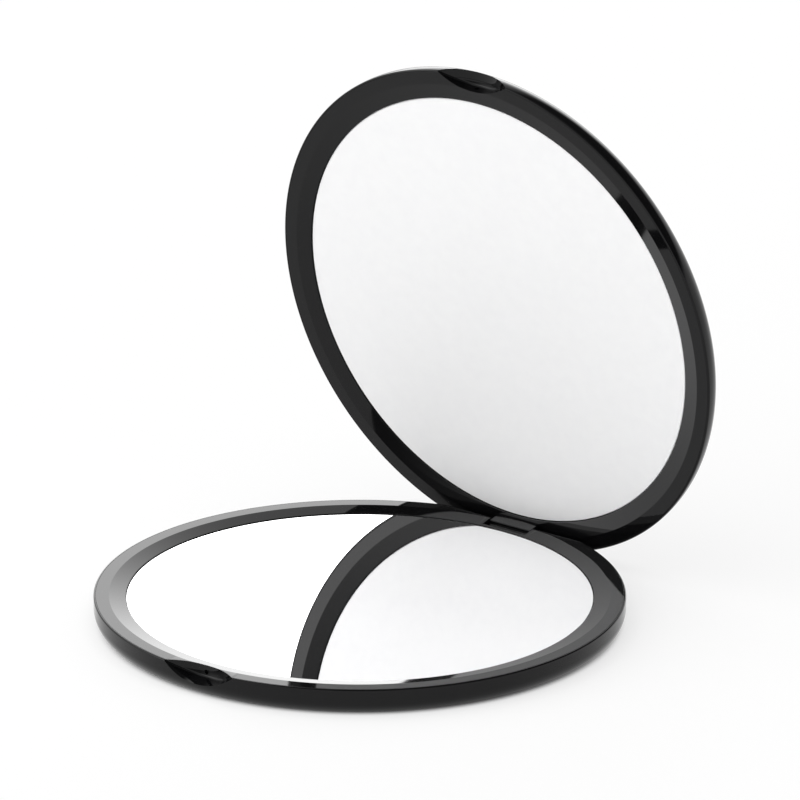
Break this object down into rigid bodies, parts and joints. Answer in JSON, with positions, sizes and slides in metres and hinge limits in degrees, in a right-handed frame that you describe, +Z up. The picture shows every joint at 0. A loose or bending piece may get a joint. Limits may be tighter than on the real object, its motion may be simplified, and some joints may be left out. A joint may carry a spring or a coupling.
{
  "type": "compact mirror",
  "caption": "Slim round folding pocket mirror: two gloss black halves on a rim hinge, each with a framed round glass mirror and a thumb scoop for opening.",
  "frame": {"origin": "centre of the flat underside of the base, on the surface that the compact rests on", "axes": "+Z up, +Y from the thumb scoop towards the hinge, +X to the right along the hinge pin"},
  "size_m": [0.08, 0.0833, 0.0789],
  "materials": {
    "shell_plastic": "polished black ABS",
    "frame_plastic": "polished black ABS",
    "mirror_glass": "silvered float glass",
    "foam_tape": "double-sided foam tape",
    "magnet": "nickel plated magnet",
    "pin_steel": "drawn stainless steel"
  },
  "bodies": {
    "base": {"base_shell": "shell_plastic", "base_frame": "frame_plastic", "base_mirror": "mirror_glass", "base_mirror_tape": "foam_tape", "base_magnets": "magnet", "hinge_pin": "pin_steel"},
    "lid": {"lid_shell": "shell_plastic", "lid_frame": "frame_plastic", "lid_mirror": "mirror_glass", "lid_mirror_tape": "foam_tape", "lid_magnets": "magnet"}
  },
  "joints": [
    {"name": "lid_hinge", "type": "hinge", "parent": "base", "child": "lid", "pos_m": [0, 0.0373, 0.00235], "axis": [-1, 0, 0], "range_deg": [-81, 54]}
  ]
}
